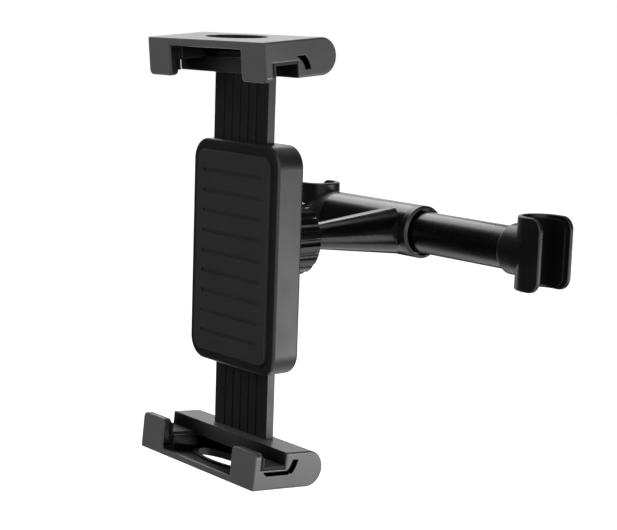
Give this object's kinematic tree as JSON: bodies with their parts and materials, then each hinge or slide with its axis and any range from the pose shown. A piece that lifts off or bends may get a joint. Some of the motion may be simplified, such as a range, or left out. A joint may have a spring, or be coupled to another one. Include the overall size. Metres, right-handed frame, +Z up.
{
  "type": "headrest tablet mount",
  "caption": "Car headrest tablet mount: telescopic bar with a post hook at each end, a ball neck, and a clamp whose geared jaws grip a tablet.",
  "frame": {"origin": "on the axis of the left headrest post, at the height of the bar's axis", "axes": "+X along the bar to the right post, -Y towards the viewer of the tablet, +Z up along the posts"},
  "size_m": [0.1762, 0.1369, 0.2004],
  "materials": {
    "jaw_grey": "satin",
    "bar_black": "gloss",
    "tube_black": "gloss",
    "hook_black": "satin",
    "soft_black": "matte",
    "white_nylon": "satin",
    "steel": "satin"
  },
  "bodies": {
    "bar": {"arm_tee": "bar_black", "tube_collar": "bar_black", "left_post_hook": "hook_black", "left_hook_liner": "soft_black", "ball": "bar_black", "bar_spring": "steel"},
    "sliding_hook": {"inner_tube": "tube_black", "guide_bush": "white_nylon", "right_post_hook": "hook_black", "right_hook_liner": "soft_black"},
    "seat": {"ball_seat": "soft_black"},
    "nut": {"lock_nut": "bar_black"},
    "clamp": {"rear_housing": "hook_black", "front_cover": "hook_black", "front_pad": "soft_black", "housing_screws": "steel", "pinion_pin": "steel", "clamp_springs": "steel"},
    "upper": {"upper_slider": "jaw_grey", "upper_jaw": "jaw_grey", "upper_jaw_pads": "soft_black", "upper_jaw_screws": "steel"},
    "lower": {"lower_slider": "jaw_grey", "lower_jaw": "jaw_grey", "lower_jaw_pads": "soft_black", "lower_jaw_screws": "steel"},
    "gear": {"pinion": "white_nylon"}
  },
  "joints": [
    {"name": "bar_slide", "type": "slide", "parent": "bar", "child": "sliding_hook", "axis": [1, 0, 0], "range_m": [-0.03, 0], "stiffness_N_per_m": 400, "springref_m": 0.03, "deforming": ["bar_spring"]},
    {"name": "clamp_tilt", "type": "hinge", "parent": "bar", "child": "seat", "pos_m": [0.066, -0.072, -0.0005], "axis": [1, 0, 0], "range_deg": [-20, 20]},
    {"name": "clamp_swivel", "type": "hinge", "parent": "seat", "child": "nut", "pos_m": [0.066, -0.072, -0.0005], "axis": [0, 0, 1], "range_deg": [-20, 20]},
    {"name": "clamp_spin", "type": "hinge", "parent": "nut", "child": "clamp", "pos_m": [0.066, -0.072, -0.0005], "axis": [0, -1, 0], "continuous": true},
    {"name": "jaw_slide", "type": "slide", "parent": "clamp", "child": "upper", "axis": [0, 0, 1], "range_m": [-0.024, 0.013], "deforming": ["clamp_springs"]},
    {"name": "lower_jaw_slide", "type": "slide", "parent": "clamp", "child": "lower", "axis": [0, 0, -1], "range_m": [-0.024, 0.013]},
    {"name": "pinion_turn", "type": "hinge", "parent": "clamp", "child": "gear", "pos_m": [0.066, -0.0982, -0.0063], "axis": [0, -1, 0], "range_deg": [-200, 110]}
  ],
  "couplings": [
    {"joint": "lower_jaw_slide", "follows": "jaw_slide", "ratio": 1},
    {"joint": "pinion_turn", "follows": "jaw_slide", "rad_per_m": 142.86}
  ]
}
